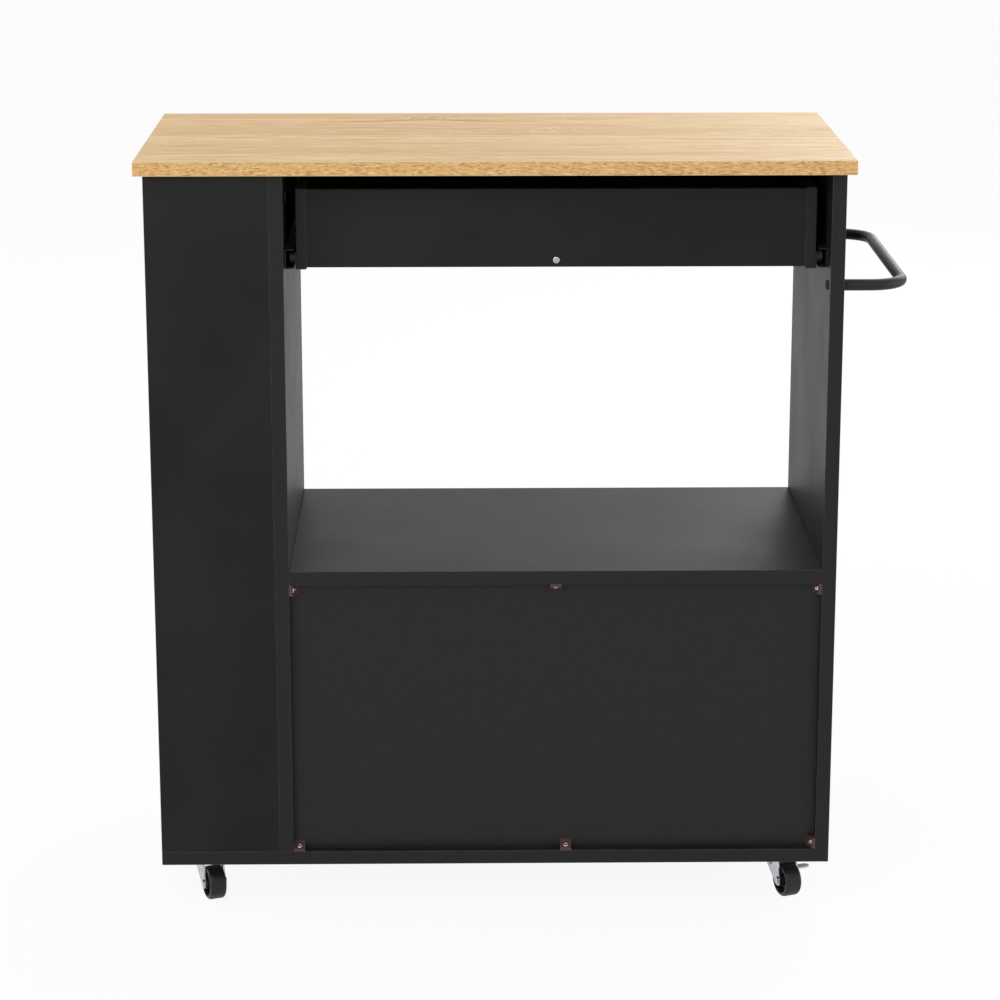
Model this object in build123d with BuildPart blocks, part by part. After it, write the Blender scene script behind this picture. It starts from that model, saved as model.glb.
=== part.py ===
from build123d import *
import os
from math import atan2, cos, degrees, hypot, radians, sin, tan

os.makedirs("parts", exist_ok=True)

# Rolling kitchen cabinet, millimetres. +Z is up, the floor is z = 0 and the doors face -Y.
# The towel bar is on the -X side and the open rack on the +X side.

# Worktop and carcass
top_width = 800.0
top_depth = 400.0
overhang = 10.0
board = 16.0
panel_height = 796.0
rack_reach = 138.0
nook_drop = 456.0
edge_ease = 0.5
seat_gap = 0.3
fit_gap = 0.05

# Thin back panel and the wedge clips that hold it in its groove
thin_board = 3.0
back_recess = 12.0
groove_depth = 2.5
groove_play = 0.2
clip_width = 13.0
clip_depth = 11.5
clip_heel = 10.0
clip_toe = 3.4
clip_inset = 7.0
clip_offset = 13.0
clip_screw_radius = 1.5
clip_head_radius = 3.4
clip_head_height = 1.4
clip_screw_length = 15.0
clip_dish_radius = 4.2
clip_dish_depth = 1.0
clip_seat_run = 7.2

# Towel bar
bar_diameter = 13.0
bar_standoff = 71.5
bar_bend = 40.0
bar_span = 336.0
bar_drop = 129.0
bar_screw_radius = 2.0
bar_screw_grip = 14.0
bar_head_radius = 5.5
bar_head_height = 2.6

# Open rack
rack_shelf_count = 3
rail_diameter = 6.0
rail_height = 45.0
rail_setback = 10.0
rail_seat = 6.0

# Drawer
drawer_board = 12.0
drawer_side_height = 90.0
drawer_head_room = 22.0
drawer_rear_gap = 40.0
drawer_back_trim = 1.0
drawer_front_lap = 12.0
drawer_groove_rise = 13.0
front_gap = 2.0
drawer_screw_rise = 9.0
drawer_screw_radius = 2.0
drawer_screw_head = 4.2
drawer_screw_dome = 2.0
drawer_screw_length = 10.0

# Roller runners
runner_gap = 12.5
runner_sheet = 1.2
runner_front_gap = 2.0
runner_rear_reach = 8.0
channel_width = 10.0
channel_height = 22.0
channel_rise = 1.0
drawer_foot = 11.0
drawer_rail_rise = 16.5
drawer_rail_reach = 8.0
front_roller_setback = 20.0
rear_roller_setback = 12.0
rear_roller_radius = 8.0
roller_width = 6.0
roller_pin_radius = 2.0
roller_head_radius = 3.2
roller_head_height = 0.8
runner_screw_radius = 1.6
runner_screw_head = 2.8
runner_screw_dome = 1.0
runner_screw_length = 12.0
runner_screw_count = 3

# Bow handles
handle_rod = 8.0
handle_span = 128.0
handle_reach = 28.0
handle_bend = 11.0
handle_edge = 36.0
handle_drop = 40.0

# Inset doors, butt hinges and magnetic catches
door_side_gap = 2.0
door_end_gap = 2.0
door_meeting_gap = 3.0
leaf_sheet = 0.8
leaf_width = 14.0
leaf_height = 50.0
hinge_inset = 45.0
knuckle_radius = 3.0
knuckle_share = 17.0
hinge_pin_radius = 1.2
hinge_pin_head = 2.2
hinge_pin_cap = 1.2
magnet_width = 44.0
magnet_depth = 13.0
magnet_height = 12.0
magnet_offset = 34.0
catch_width = 32.0
catch_height = 10.0
catch_sheet = 1.0

# Cam fittings
cam_radius = 7.5
cam_depth = 12.5
cam_inset = 34.0
cam_spread = 260.0
cam_slot = 1.6
cam_slot_depth = 2.0

# Swivel casters
caster_height = 57.0
caster_inset = 50.0
caster_setback = 57.0
caster_trail = 18.0
caster_heading = 112.0
plate_size = 42.0
plate_sheet = 2.0
plate_corner = 5.0
plate_hole_pitch = 31.0
race_radius = 15.0
race_height = 4.0
dome_radius = 17.5
dome_tip_radius = 13.0
king_pin_radius = 4.0
king_head_radius = 6.0
king_head_height = 1.8
fork_sheet = 2.0
fork_corner = 4.0
fork_crown_height = 46.0
fork_crown_drop = 8.0
fork_crown_length = 32.0
fork_boss_radius = 6.5
wheel_radius = 20.0
wheel_width = 20.0
wheel_side_gap = 1.0
wheel_shoulder = 3.5
wheel_rim = 4.5
wheel_web = 8.0
hub_radius = 7.0
hub_proud = 0.5
axle_radius = 2.5
axle_head_radius = 4.5
axle_head_height = 1.6
caster_screw_radius = 1.9
caster_screw_head = 3.4
caster_screw_dome = 1.7
caster_screw_length = 12.0

# Brake pedal, a cross shaft in the fork with a cam lobe over the tread
pedal_back = -2.0
pedal_height = 36.0
pedal_shaft_radius = 1.8
pedal_head_radius = 3.0
pedal_head_height = 1.2
pedal_sheet = 2.0
pedal_arm_run = 11.0
pedal_arm_rise = -7.0
pedal_arm_radius = 3.6
pedal_tab_length = 18.0
pedal_tab_width = 10.0
pedal_press = 25.0
lobe_radius = 1.6
lobe_root_radius = 3.0
lobe_width = 16.0

# Places worked out from the sizes above
body_width = top_width - 2 * overhang
body_depth = top_depth - 2 * overhang
bay_width = body_width - 2 * board - rack_reach
bar_outer = body_width / 2 + bar_standoff + bar_diameter / 2
middle_x = (bar_outer - top_width / 2) / 2
middle_y = (body_depth / 2 + handle_reach - top_depth / 2) / 2
left = middle_x - body_width / 2
right = middle_x + body_width / 2
front = middle_y - body_depth / 2
back = middle_y + body_depth / 2
deck_z = caster_height + board
under_z = deck_z + panel_height
top_z = under_z + board
bay_left = left + board
bay_right = bay_left + bay_width
bay_middle = (bay_left + bay_right) / 2
rack_left = bay_right + board
nook_z = under_z - nook_drop
nook_under_z = nook_z - board
panel_rear = back - back_recess
panel_face = panel_rear - thin_board


def slab(low, high, mode=Mode.ADD):
    """Add or cut the block between two opposite corners."""
    with Locations(tuple((a + b) / 2 for a, b in zip(low, high))):
        Box(*(abs(b - a) for a, b in zip(low, high)), mode=mode)


def eased_board(piece, low, high):
    """Add a board with its sharp edges eased."""
    slab(low, high)
    chamfer(piece.edges(), edge_ease)


def disc(plane, radius, length, mode=Mode.ADD):
    """Add or cut a round of the given length that starts on a plane."""
    with BuildSketch(plane) as face:
        Circle(radius)
    extrude(face.sketch, amount=length, mode=mode)


def bow(plane, span, reach, bend, diameter):
    """Add a round bar bent to a U whose two feet stand on the plane's x axis."""
    with BuildLine(plane) as path:
        FilletPolyline((-span / 2, 0), (-span / 2, reach), (span / 2, reach), (span / 2, 0), radius=bend)
    with BuildSketch(Plane(origin=path.line @ 0, z_dir=path.line % 0)) as section:
        Circle(diameter / 2)
    sweep(section.sketch, path=path.line)


def keep(piece, name):
    """Label a finished piece and write its file."""
    piece.part.label = name
    export_step(piece.part, f"parts/{name}.step")


# Wedge clips, screws and their pilot holes share these places
def clip_frame(x, z, away):
    """Plane in a clip's corner: x runs out from the back panel, y away from the board it is screwed to."""
    out = Vector(0, 1, 0)
    return Plane(origin=(x, panel_rear, z), x_dir=out, z_dir=out.cross(Vector(*away)))


base_clips = [
    clip_frame(bay_right - seat_gap - clip_width / 2, deck_z, (0, 0, 1)),
    clip_frame(bay_middle - clip_offset, deck_z, (0, 0, 1)),
]
shelf_clips = [clip_frame(bay_middle, nook_under_z, (0, 0, -1))]
side_clips = [
    clip_frame(bay_left, deck_z + clip_inset, (1, 0, 0)),
    clip_frame(bay_left, nook_under_z - clip_inset, (1, 0, 0)),
]
divider_clips = [clip_frame(bay_right, nook_under_z - clip_inset, (-1, 0, 0))]
all_clips = base_clips + shelf_clips + side_clips + divider_clips


def clip_screw_plane(frame):
    """Plane on a clip's sloping face where its screw head sits, facing out along the screw."""
    slope = atan2(clip_heel - clip_toe, clip_depth)
    rise = clip_heel - clip_seat_run * tan(slope)
    face = frame.from_local_coords((clip_seat_run, rise, 0))
    outward = frame.x_dir * sin(slope) + frame.y_dir * cos(slope)
    return Plane(origin=face - outward * clip_dish_depth, x_dir=frame.z_dir, z_dir=outward)


def clip_pilot_holes(frames):
    """Cut the pilot holes of some clips into the board that they are screwed to."""
    for frame in frames:
        seat = clip_screw_plane(frame)
        disc(seat, clip_screw_radius + fit_gap, -clip_screw_length - seat_gap, Mode.SUBTRACT)


# Cam fittings and their bores share these planes, which face out of each bore
cam_rows = (middle_y - cam_spread / 2, middle_y + cam_spread / 2)
shelf_cams = [
    Plane(origin=(x, y, nook_under_z), z_dir=(0, 0, -1))
    for x in (bay_left + cam_inset, bay_right - cam_inset)
    for y in cam_rows
]
side_cams = [
    Plane(origin=(bay_left, y, z), z_dir=(1, 0, 0))
    for y in cam_rows
    for z in (deck_z + cam_inset, under_z - cam_inset)
]
divider_cams = [
    Plane(origin=(bay_right, y, z), z_dir=(-1, 0, 0))
    for y in cam_rows
    for z in (deck_z + cam_inset, under_z - cam_inset)
]


def cam_bores(planes):
    """Cut the blind bores that hold cam fittings."""
    for plane in planes:
        disc(plane, cam_radius + fit_gap, -cam_depth, Mode.SUBTRACT)


# Worktop
with BuildPart() as worktop:
    eased_board(
        worktop,
        (middle_x - top_width / 2, middle_y - top_depth / 2, under_z),
        (middle_x + top_width / 2, middle_y + top_depth / 2, top_z),
    )
keep(worktop, "worktop")

# Casters: where each swivel stands and which way its wheel trails
caster_places = {
    "front_left": (left + caster_inset, front + caster_setback),
    "front_right": (right - caster_inset, front + caster_setback),
    "back_left": (left + caster_inset, back - caster_setback),
    "back_right": (right - caster_inset, back - caster_setback),
}
braked_casters = ("front_right", "back_left")
heading = radians(caster_heading)
caster_frames = {
    name: Plane(origin=(x, y, 0), x_dir=(cos(heading), sin(heading), 0), z_dir=(0, 0, 1))
    for name, (x, y) in caster_places.items()
}
plate_under_z = caster_height - plate_sheet
plate_holes = [
    (x + i * plate_hole_pitch / 2, y + j * plate_hole_pitch / 2)
    for x, y in caster_places.values()
    for i in (-1, 1)
    for j in (-1, 1)
]

# Base board with the back panel's groove and the screw holes of casters and clips
with BuildPart() as base_board:
    eased_board(base_board, (left, front, caster_height), (right, back, deck_z))
    slab(
        (bay_left - groove_depth, panel_face - groove_play, deck_z - groove_depth),
        (bay_right + groove_depth, panel_rear, deck_z),
        Mode.SUBTRACT,
    )
    clip_pilot_holes(base_clips)
    for x, y in plate_holes:
        disc(Plane((x, y, caster_height)), caster_screw_radius + fit_gap, caster_screw_length, Mode.SUBTRACT)
keep(base_board, "base_board")

# Runner places: the same on both sides, with x measured in from the panel's inner face
drawer_z = under_z - drawer_head_room - drawer_side_height
drawer_rear = back - drawer_rear_gap
drawer_head = front + board
runner_front = drawer_head + runner_front_gap
channel_rear = drawer_rear + runner_rear_reach
channel_middle = (runner_front + channel_rear) / 2
drawer_rail_middle = (runner_front + drawer_rear) / 2
front_roller_y = drawer_head + front_roller_setback
rear_roller_y = drawer_rear - rear_roller_setback
track_rise = channel_rise + runner_sheet
rear_roller_rise = track_rise + seat_gap + rear_roller_radius
front_roller_radius = (drawer_rail_rise - track_rise) / 2 - 2 * seat_gap
front_roller_rise = drawer_rail_rise - seat_gap - front_roller_radius
rail_face = runner_gap - runner_sheet
rear_roller_outer = rail_face - 2 * seat_gap - roller_width
roller_window = 2 * (rear_roller_setback + rear_roller_radius)
runner_sides = {"left": (bay_left, 1), "right": (bay_right, -1)}
screw_pitch = (rear_roller_y - front_roller_y) / (runner_screw_count + 1)
screw_rows = [front_roller_y + screw_pitch * (n + 1) for n in range(runner_screw_count)]
screw_rise = channel_rise + channel_height / 2


def runner_section(panel_x, inward, y):
    """Upright plane across a runner at depth y: x in from the panel, y up from the drawer's lower edge."""
    return Plane(origin=(panel_x, y, drawer_z), x_dir=(inward, 0, 0), z_dir=(0, -inward, 0))


def across(panel_x, inward, y, rise, depth):
    """Plane that faces in from the panel, at a depth from its inner face."""
    return Plane(origin=(panel_x + inward * depth, y, drawer_z + rise), z_dir=(inward, 0, 0))


def runner_screw_holes(panel_x, inward):
    """Cut the pilot holes of one runner's screws into its board."""
    for y in screw_rows:
        disc(
            across(panel_x, inward, y, screw_rise, 0),
            runner_screw_radius + fit_gap,
            -runner_screw_length,
            Mode.SUBTRACT,
        )


# Towel bar places
bar_z = under_z - bar_drop
bar_rows = (middle_y - bar_span / 2, middle_y + bar_span / 2)

# Side panel
with BuildPart() as side_panel:
    eased_board(side_panel, (left, front, deck_z), (bay_left, back, under_z))
    slab(
        (bay_left - groove_depth, panel_face - groove_play, deck_z),
        (bay_left, panel_rear, nook_under_z + groove_depth),
        Mode.SUBTRACT,
    )
    clip_pilot_holes(side_clips)
    cam_bores(side_cams)
    runner_screw_holes(*runner_sides["left"])
    for y in bar_rows:
        disc(Plane((left, y, bar_z), z_dir=(1, 0, 0)), bar_screw_radius + fit_gap, board, Mode.SUBTRACT)
keep(side_panel, "side_panel")

# Divider between the bay and the rack
with BuildPart() as divider_panel:
    eased_board(divider_panel, (bay_right, front, deck_z), (rack_left, back, under_z))
    slab(
        (bay_right, panel_face - groove_play, deck_z),
        (bay_right + groove_depth, panel_rear, nook_under_z + groove_depth),
        Mode.SUBTRACT,
    )
    clip_pilot_holes(divider_clips)
    cam_bores(divider_cams)
    runner_screw_holes(*runner_sides["right"])
keep(divider_panel, "divider_panel")

# Nook shelf, which is also the cabinet's ceiling
with BuildPart() as nook_shelf:
    eased_board(nook_shelf, (bay_left, front, nook_under_z), (bay_right, back, nook_z))
    slab(
        (bay_left, panel_face - groove_play, nook_under_z),
        (bay_right, panel_rear, nook_under_z + groove_depth),
        Mode.SUBTRACT,
    )
    clip_pilot_holes(shelf_clips)
    cam_bores(shelf_cams)
keep(nook_shelf, "nook_shelf")

# Cabinet back panel, seated in the grooves
panel_lap = groove_depth - groove_play
with BuildPart() as cabinet_back:
    slab(
        (bay_left - panel_lap, panel_face, deck_z - panel_lap),
        (bay_right + panel_lap, panel_rear, nook_under_z + panel_lap),
    )
keep(cabinet_back, "cabinet_back")

# Wedge clips: a heel against the panel, a sloping face with a dished screw seat
with BuildPart() as back_clips:
    for frame in all_clips:
        with BuildSketch(frame):
            with BuildLine():
                Polyline((0, 0), (clip_depth, 0), (clip_depth, clip_toe), (0, clip_heel), close=True)
            make_face()
        extrude(amount=clip_width / 2, both=True)
    for frame in all_clips:
        seat = clip_screw_plane(frame)
        disc(seat, clip_screw_radius + fit_gap, -clip_screw_length, Mode.SUBTRACT)
        disc(seat, clip_dish_radius, clip_heel, Mode.SUBTRACT)
keep(back_clips, "back_clips")

# Clip screws with domed heads
with BuildPart() as clip_screws:
    for frame in all_clips:
        seat = clip_screw_plane(frame)
        disc(seat, clip_screw_radius, -clip_screw_length)
        disc(seat, clip_head_radius, clip_head_height)
keep(clip_screws, "clip_screws")

# Cam fittings with a screwdriver slot
with BuildPart() as cam_fittings:
    for plane in shelf_cams + side_cams + divider_cams:
        disc(plane, cam_radius, -cam_depth)
        with BuildSketch(plane):
            Rectangle(2 * cam_radius - 4 * cam_slot, cam_slot)
            Rectangle(cam_slot, 2 * cam_radius - 4 * cam_slot)
        extrude(amount=-cam_slot_depth, mode=Mode.SUBTRACT)
keep(cam_fittings, "cam_fittings")

# Towel bar
bar_frame = Plane(origin=(left, middle_y, bar_z), x_dir=(0, 1, 0), z_dir=(0, 0, 1))
with BuildPart() as towel_bar:
    bow(bar_frame, bar_span, bar_standoff, bar_bend, bar_diameter)
    for y in bar_rows:
        disc(
            Plane((left, y, bar_z), z_dir=(-1, 0, 0)),
            bar_screw_radius + fit_gap,
            bar_screw_grip,
            Mode.SUBTRACT,
        )
keep(towel_bar, "towel_bar")

# Towel bar screws, driven from inside the nook
with BuildPart() as towel_bar_screws:
    for y in bar_rows:
        inner = Plane((bay_left, y, bar_z), z_dir=(1, 0, 0))
        disc(inner, bar_head_radius, bar_head_height)
        disc(inner, bar_screw_radius, -board - bar_screw_grip + seat_gap)
keep(towel_bar_screws, "towel_bar_screws")

# Rack: boards front and back, shelves between them and a guard rod over each floor
shelf_pitch = panel_height / (rack_shelf_count + 1)
rack_floors = [deck_z] + [deck_z + shelf_pitch * (n + 1) + board / 2 for n in range(rack_shelf_count)]
rail_x = right - rail_setback
rack_inner_front = front + board
rack_inner_back = back - board


def rail_holes(y, direction):
    """Cut the blind holes that hold the guard rods' ends."""
    for floor in rack_floors:
        disc(
            Plane((rail_x, y, floor + rail_height), z_dir=(0, direction, 0)),
            rail_diameter / 2 + fit_gap,
            rail_seat,
            Mode.SUBTRACT,
        )


with BuildPart() as rack_back_board:
    eased_board(rack_back_board, (rack_left, rack_inner_back, deck_z), (right, back, under_z))
    rail_holes(rack_inner_back, 1)
keep(rack_back_board, "rack_back_board")

with BuildPart() as rack_front_board:
    eased_board(rack_front_board, (rack_left, front, deck_z), (right, rack_inner_front, under_z))
    rail_holes(rack_inner_front, -1)
keep(rack_front_board, "rack_front_board")

for number, floor in enumerate(rack_floors[1:], start=1):
    with BuildPart() as rack_shelf:
        eased_board(
            rack_shelf,
            (rack_left, rack_inner_front, floor - board),
            (right, rack_inner_back, floor),
        )
    keep(rack_shelf, f"rack_shelf_{number}")

with BuildPart() as rack_rails:
    for floor in rack_floors:
        start = rack_inner_front - rail_seat + fit_gap
        rod = rack_inner_back - rack_inner_front + 2 * (rail_seat - fit_gap)
        disc(Plane((rail_x, start, floor + rail_height), z_dir=(0, 1, 0)), rail_diameter / 2, rod)
keep(rack_rails, "rack_rails")

# Drawer box
drawer_left = bay_left + runner_gap
drawer_right = bay_right - runner_gap
drawer_top = drawer_z + drawer_side_height
bottom_z = drawer_z + drawer_groove_rise
bottom_left = drawer_left + drawer_board - groove_depth
bottom_right = drawer_right - drawer_board + groove_depth
bottom_front = drawer_head - groove_depth
bottom_rear = drawer_rear - drawer_board + groove_depth


def bottom_groove():
    """Cut the groove that takes the drawer bottom into a board of the drawer."""
    slab(
        (bottom_left, bottom_front, bottom_z),
        (bottom_right, bottom_rear, bottom_z + thin_board + groove_play),
        Mode.SUBTRACT,
    )


for side, low_x in (("left", drawer_left), ("right", drawer_right - drawer_board)):
    with BuildPart() as drawer_side:
        eased_board(
            drawer_side,
            (low_x, drawer_head, drawer_z),
            (low_x + drawer_board, drawer_rear, drawer_top),
        )
        bottom_groove()
    keep(drawer_side, f"drawer_side_{side}")

drawer_screw_z = drawer_z + drawer_screw_rise
drawer_screw_plane = Plane((bay_middle, drawer_rear, drawer_screw_z), z_dir=(0, 1, 0))
with BuildPart() as drawer_back:
    eased_board(
        drawer_back,
        (drawer_left + drawer_board, drawer_rear - drawer_board, drawer_z + drawer_back_trim),
        (drawer_right - drawer_board, drawer_rear, drawer_top - drawer_back_trim),
    )
    bottom_groove()
    disc(drawer_screw_plane, drawer_screw_radius + fit_gap, -drawer_screw_length, Mode.SUBTRACT)
keep(drawer_back, "drawer_back")

with BuildPart() as drawer_back_screw:
    disc(drawer_screw_plane, drawer_screw_radius, -drawer_screw_length)
    disc(drawer_screw_plane, drawer_screw_head, drawer_screw_dome)
keep(drawer_back_screw, "drawer_back_screw")

with BuildPart() as drawer_front:
    eased_board(
        drawer_front,
        (bay_left + front_gap, front, drawer_z - drawer_front_lap),
        (bay_right - front_gap, drawer_head, under_z - front_gap),
    )
    bottom_groove()
keep(drawer_front, "drawer_front")

with BuildPart() as drawer_bottom:
    slab(
        (bottom_left + groove_play, bottom_front + groove_play, bottom_z),
        (bottom_right - groove_play, bottom_rear - groove_play, bottom_z + thin_board),
    )
keep(drawer_bottom, "drawer_bottom")

handle_line = handle_reach - handle_rod / 2
drawer_front_middle = (drawer_z - drawer_front_lap + under_z - front_gap) / 2
with BuildPart() as drawer_handle:
    bow(
        Plane((bay_middle, front, drawer_front_middle), x_dir=(1, 0, 0), z_dir=(0, 0, -1)),
        handle_span,
        handle_line,
        handle_bend,
        handle_rod,
    )
keep(drawer_handle, "drawer_handle")

# Runners: a channel on each panel, a rail under each drawer side and a roller on each
for side, (panel_x, inward) in runner_sides.items():
    front_pin = across(panel_x, inward, front_roller_y, front_roller_rise, runner_sheet)
    pin_length = seat_gap + roller_width + seat_gap
    with BuildPart() as runner_cabinet:
        with BuildSketch(runner_section(panel_x, inward, channel_middle)):
            with Locations((channel_width / 2, channel_rise + channel_height / 2)):
                Rectangle(channel_width, channel_height)
            with Locations((channel_width / 2 + runner_sheet, channel_rise + channel_height / 2)):
                Rectangle(channel_width, channel_height - 2 * runner_sheet, mode=Mode.SUBTRACT)
        extrude(amount=(channel_rear - runner_front) / 2, both=True)
        for y in screw_rows:
            disc(
                across(panel_x, inward, y, screw_rise, 0),
                runner_screw_radius + fit_gap,
                runner_sheet,
                Mode.SUBTRACT,
            )
        disc(front_pin, roller_pin_radius, pin_length)
        disc(front_pin.offset(pin_length), roller_head_radius, roller_head_height)
    keep(runner_cabinet, f"runner_cabinet_{side}")

    with BuildPart() as roller_front:
        disc(front_pin.offset(seat_gap), front_roller_radius, roller_width)
        disc(front_pin.offset(seat_gap), roller_pin_radius + fit_gap, roller_width, Mode.SUBTRACT)
    keep(roller_front, f"roller_front_{side}")

    rear_pin = across(panel_x, inward, rear_roller_y, rear_roller_rise, rail_face)
    rear_pin_length = rail_face - rear_roller_outer + seat_gap
    with BuildPart() as runner_drawer:
        with BuildSketch(runner_section(panel_x, inward, drawer_rail_middle)):
            with BuildLine():
                Polyline(
                    (runner_gap, 0),
                    (runner_gap + drawer_foot, 0),
                    (runner_gap + drawer_foot, -runner_sheet),
                    (rail_face, -runner_sheet),
                    (rail_face, drawer_rail_rise),
                    (runner_gap - drawer_rail_reach, drawer_rail_rise),
                    (runner_gap - drawer_rail_reach, drawer_rail_rise + runner_sheet),
                    (runner_gap, drawer_rail_rise + runner_sheet),
                    close=True,
                )
            make_face()
        extrude(amount=(drawer_rear - runner_front) / 2, both=True)
        with BuildSketch(rear_pin):
            Rectangle(roller_window, roller_window)
        extrude(amount=-runner_gap, mode=Mode.SUBTRACT)
        disc(rear_pin, roller_pin_radius, -rear_pin_length)
        disc(rear_pin.offset(-rear_pin_length), roller_head_radius, -roller_head_height)
    keep(runner_drawer, f"runner_drawer_{side}")

    with BuildPart() as roller_rear:
        disc(rear_pin.offset(-2 * seat_gap), rear_roller_radius, -roller_width)
        disc(rear_pin, roller_pin_radius + fit_gap, -rear_pin_length, Mode.SUBTRACT)
    keep(roller_rear, f"roller_rear_{side}")

with BuildPart() as runner_screws:
    for panel_x, inward in runner_sides.values():
        for y in screw_rows:
            disc(across(panel_x, inward, y, screw_rise, runner_sheet), runner_screw_head, runner_screw_dome)
            disc(
                across(panel_x, inward, y, screw_rise, runner_sheet),
                runner_screw_radius,
                -runner_sheet - runner_screw_length + seat_gap,
            )
keep(runner_screws, "runner_screws")

# Doors, hinges and catches
door_width = (bay_width - 2 * door_side_gap - door_meeting_gap) / 2
door_low = deck_z + door_end_gap
door_high = nook_under_z - door_end_gap
hinge_axis_y = front - knuckle_radius - seat_gap
hinge_feet = (door_low + hinge_inset, door_high - hinge_inset - leaf_height)
knuckle_low = (leaf_height - knuckle_share) / 2
knuckle_high = knuckle_low + knuckle_share
door_sides = {"left": (bay_left, 1), "right": (bay_right, -1)}


def hinge_axis(panel_x, inward, z):
    """Plane on a hinge's axis, facing up."""
    return Plane((panel_x + inward * door_side_gap / 2, hinge_axis_y, z))


def hinge_leaf(panel_x, inward, foot, near, spans, cuts):
    """Add a leaf with its knuckles, cut clear of the other leaf's knuckles and bored for the pin."""
    far = near + inward * leaf_sheet
    slab((near, hinge_axis_y, foot), (far, front + leaf_width, foot + leaf_height))
    for low, high in cuts:
        slab(
            (near, hinge_axis_y - knuckle_radius, foot + low),
            (far, front, foot + high),
            Mode.SUBTRACT,
        )
    for low, high in spans:
        disc(hinge_axis(panel_x, inward, foot + low), knuckle_radius, high - low)
    disc(hinge_axis(panel_x, inward, foot), hinge_pin_radius + fit_gap, leaf_height, Mode.SUBTRACT)


middle_span = [(knuckle_low, knuckle_high)]
outer_spans = [(0, knuckle_low - seat_gap), (knuckle_high + seat_gap, leaf_height)]
middle_cut = [(knuckle_low - seat_gap, knuckle_high + seat_gap)]
outer_cuts = [(0, knuckle_low), (knuckle_high, leaf_height)]

with BuildPart() as hinge_frame_leaves:
    for panel_x, inward in door_sides.values():
        for foot in hinge_feet:
            hinge_leaf(panel_x, inward, foot, panel_x, outer_spans, middle_cut)
keep(hinge_frame_leaves, "hinge_frame_leaves")

with BuildPart() as hinge_pins:
    for panel_x, inward in door_sides.values():
        for foot in hinge_feet:
            disc(hinge_axis(panel_x, inward, foot), hinge_pin_radius, leaf_height)
            disc(hinge_axis(panel_x, inward, foot + leaf_height), hinge_pin_head, hinge_pin_cap)
keep(hinge_pins, "hinge_pins")

for side, (panel_x, inward) in door_sides.items():
    near = panel_x + inward * door_side_gap
    far = near + inward * door_width
    with BuildPart() as door:
        eased_board(
            door,
            (min(near, far), front, door_low),
            (max(near, far), front + board, door_high),
        )
    keep(door, f"door_{side}")

    with BuildPart() as door_leaves:
        for foot in hinge_feet:
            hinge_leaf(panel_x, inward, foot, near - inward * leaf_sheet, middle_span, outer_cuts)
    keep(door_leaves, f"hinge_door_leaves_{side}")

    handle_x = far - inward * handle_edge
    handle_z = door_high - handle_drop - handle_span / 2
    with BuildPart() as door_handle:
        bow(
            Plane((handle_x, front, handle_z), x_dir=(0, 0, 1), z_dir=(1, 0, 0)),
            handle_span,
            handle_line,
            handle_bend,
            handle_rod,
        )
    keep(door_handle, f"door_handle_{side}")

    catch_x = bay_middle - inward * magnet_offset
    with BuildPart() as catch_plate:
        slab(
            (catch_x - catch_width / 2, front + board, door_high - catch_height),
            (catch_x + catch_width / 2, front + board + catch_sheet, door_high),
        )
    keep(catch_plate, f"catch_plate_{side}")

with BuildPart() as door_magnets:
    for inward in (1, -1):
        catch_x = bay_middle - inward * magnet_offset
        magnet_y = front + board + catch_sheet + seat_gap
        slab(
            (catch_x - magnet_width / 2, magnet_y, nook_under_z - magnet_height),
            (catch_x + magnet_width / 2, magnet_y + magnet_depth, nook_under_z),
        )
keep(door_magnets, "door_magnets")

# Caster plates with the upper race and the riveted king pin
crown_under = fork_crown_height - fork_sheet
king_length = plate_under_z - crown_under + seat_gap
with BuildPart() as caster_plates:
    for x, y in caster_places.values():
        with BuildSketch(Plane((x, y, plate_under_z))):
            RectangleRounded(plate_size, plate_size, plate_corner)
        extrude(amount=plate_sheet)
        with BuildSketch(Plane((x, y, plate_under_z))):
            Circle(dome_radius)
        with BuildSketch(Plane((x, y, fork_crown_height + race_height + seat_gap))):
            Circle(dome_tip_radius)
        loft()
        disc(Plane((x, y, plate_under_z)), king_pin_radius, -king_length)
        disc(Plane((x, y, crown_under - seat_gap)), king_head_radius, -king_head_height)
    for x, y in plate_holes:
        disc(Plane((x, y, plate_under_z)), caster_screw_radius + fit_gap, plate_sheet, Mode.SUBTRACT)
keep(caster_plates, "caster_plates")

with BuildPart() as caster_screws:
    for x, y in plate_holes:
        disc(Plane((x, y, plate_under_z)), caster_screw_head, -caster_screw_dome)
        disc(Plane((x, y, plate_under_z)), caster_screw_radius, plate_sheet + caster_screw_length - seat_gap)
keep(caster_screws, "caster_screws")

# Forks, axles, wheels and brake pedals, each in its caster's own plane
leg_inner = wheel_width / 2 + wheel_side_gap
leg_outer = leg_inner + fork_sheet
axle_run = hypot(caster_trail - pedal_back, pedal_height - wheel_radius)
axle_bearing = degrees(atan2(wheel_radius - pedal_height, caster_trail - pedal_back))
lobe_reach = axle_run - wheel_radius - seat_gap - lobe_radius
lobe_angle = radians(axle_bearing + pedal_press)
arm_face = leg_outer + seat_gap
tab_straight = pedal_sheet + pedal_tab_length - pedal_tab_width / 2


def side_view(frame, x, z):
    """Plane through a point of a caster, with x along the trail, y up and z to the caster's right."""
    return Plane(origin=frame.from_local_coords((x, 0, z)), x_dir=frame.x_dir, z_dir=-frame.y_dir)


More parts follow.
